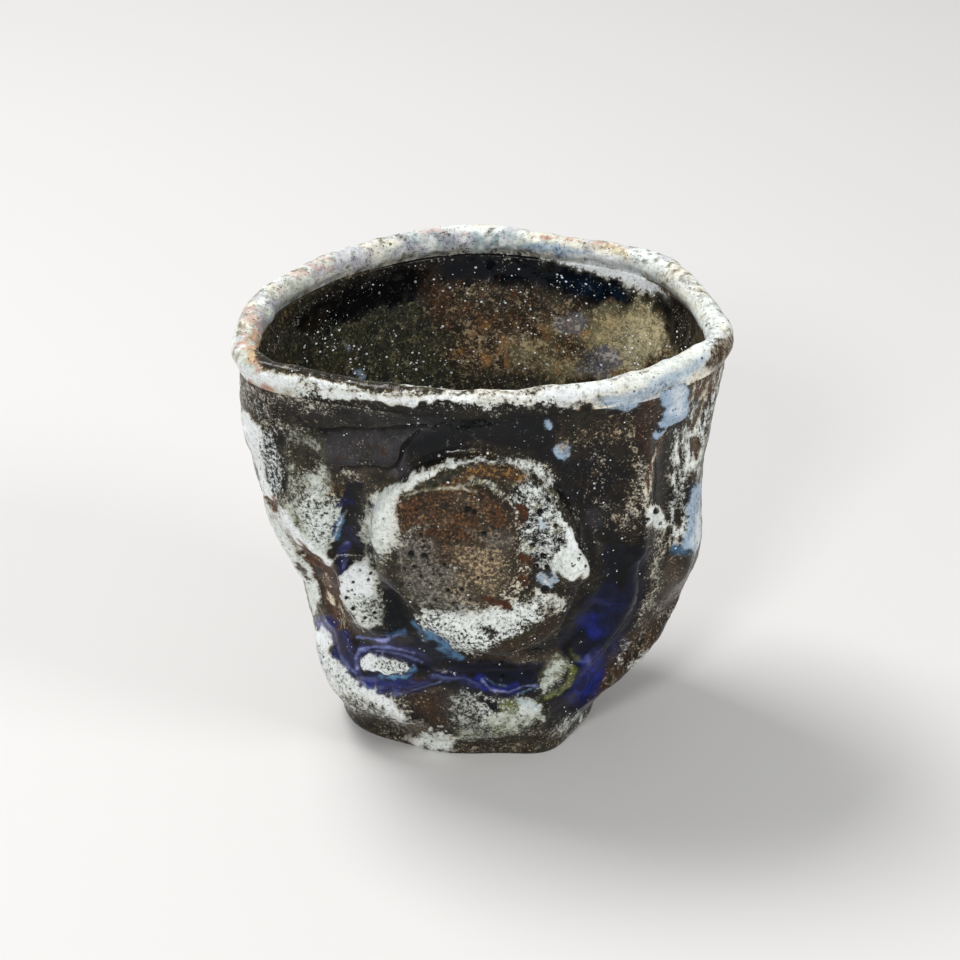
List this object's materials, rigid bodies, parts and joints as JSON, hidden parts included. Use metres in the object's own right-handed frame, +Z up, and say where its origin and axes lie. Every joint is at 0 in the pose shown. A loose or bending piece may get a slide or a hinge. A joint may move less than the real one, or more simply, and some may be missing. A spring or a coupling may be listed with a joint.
{
  "type": "sake cup",
  "caption": "Small hand-built stoneware sake cup with a rolled oval lip, a foot slab, a pressed medallion, laid-on clay folds and pooled glass.",
  "frame": {"origin": "centre of the bounding box, on the table plane that the foot stands on", "axes": "+X to the right across the longest side of the mouth, +Y to the back, +Z up; the medallion faces -Y"},
  "size_m": [0.0682, 0.0564, 0.0637],
  "materials": {
    "stoneware_body": "dark brown to black glossy glaze, broken by white and olive patches",
    "foot_clay": "thin olive glaze over brown clay, bare and matt underneath",
    "lip_glaze": "cream-white crawled glaze with small dark pinholes and rust patches",
    "medallion_glaze": "thick white crawled glaze with dark holes",
    "disc_glaze": "granular rust, tan and grey satin glaze",
    "white_glaze": "glossy white glaze with black specks",
    "rib_glaze": "streaked tan, white and brown glaze",
    "blue_glass": "glossy blue-violet glass pooled in the firing, with pale flow lines"
  },
  "bodies": {
    "root": {"body_wall": "stoneware_body", "foot_slab": "foot_clay", "lip_roll": "lip_glaze", "medallion_pad": "medallion_glaze", "medallion_disc": "disc_glaze", "glaze_bead": "white_glaze", "left_fold": "white_glaze", "left_lobe": "white_glaze", "left_rib": "rib_glaze", "foot_roll": "white_glaze", "right_rib_front": "rib_glaze", "right_rib_side": "rib_glaze", "right_rib_low": "rib_glaze", "channel_glass": "blue_glass", "groove_glass": "blue_glass", "side_glass": "blue_glass"}
  },
  "joints": []
}
